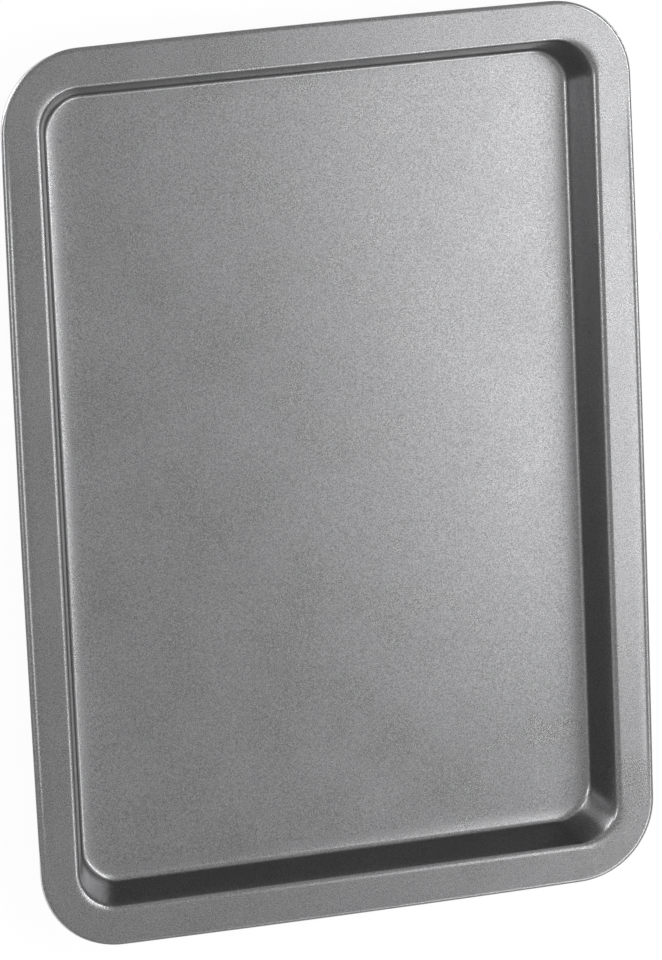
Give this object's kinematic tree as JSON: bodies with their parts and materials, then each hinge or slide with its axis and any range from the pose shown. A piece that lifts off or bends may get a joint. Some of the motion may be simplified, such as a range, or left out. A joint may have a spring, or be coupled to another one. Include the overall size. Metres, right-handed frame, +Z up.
{
  "type": "cookie sheet",
  "caption": "Shallow rectangular steel baking tray with rounded corners, sloping walls, a flat rim and a rolled edge stiffened by a wire inside it.",
  "frame": {"origin": "centre of the floor's underside, which is what the tray rests on", "axes": "+Z up out of the well, +Y along the long side, +X across the short side"},
  "size_m": [0.27, 0.378, 0.02],
  "materials": {
    "nonstick_coating": "dark grey non-stick coating on steel sheet, half gloss with a fine speckle",
    "wire_steel": "plain drawn steel wire"
  },
  "bodies": {
    "root": {"tray_sheet": "nonstick_coating", "rim_wire": "wire_steel"}
  },
  "joints": []
}
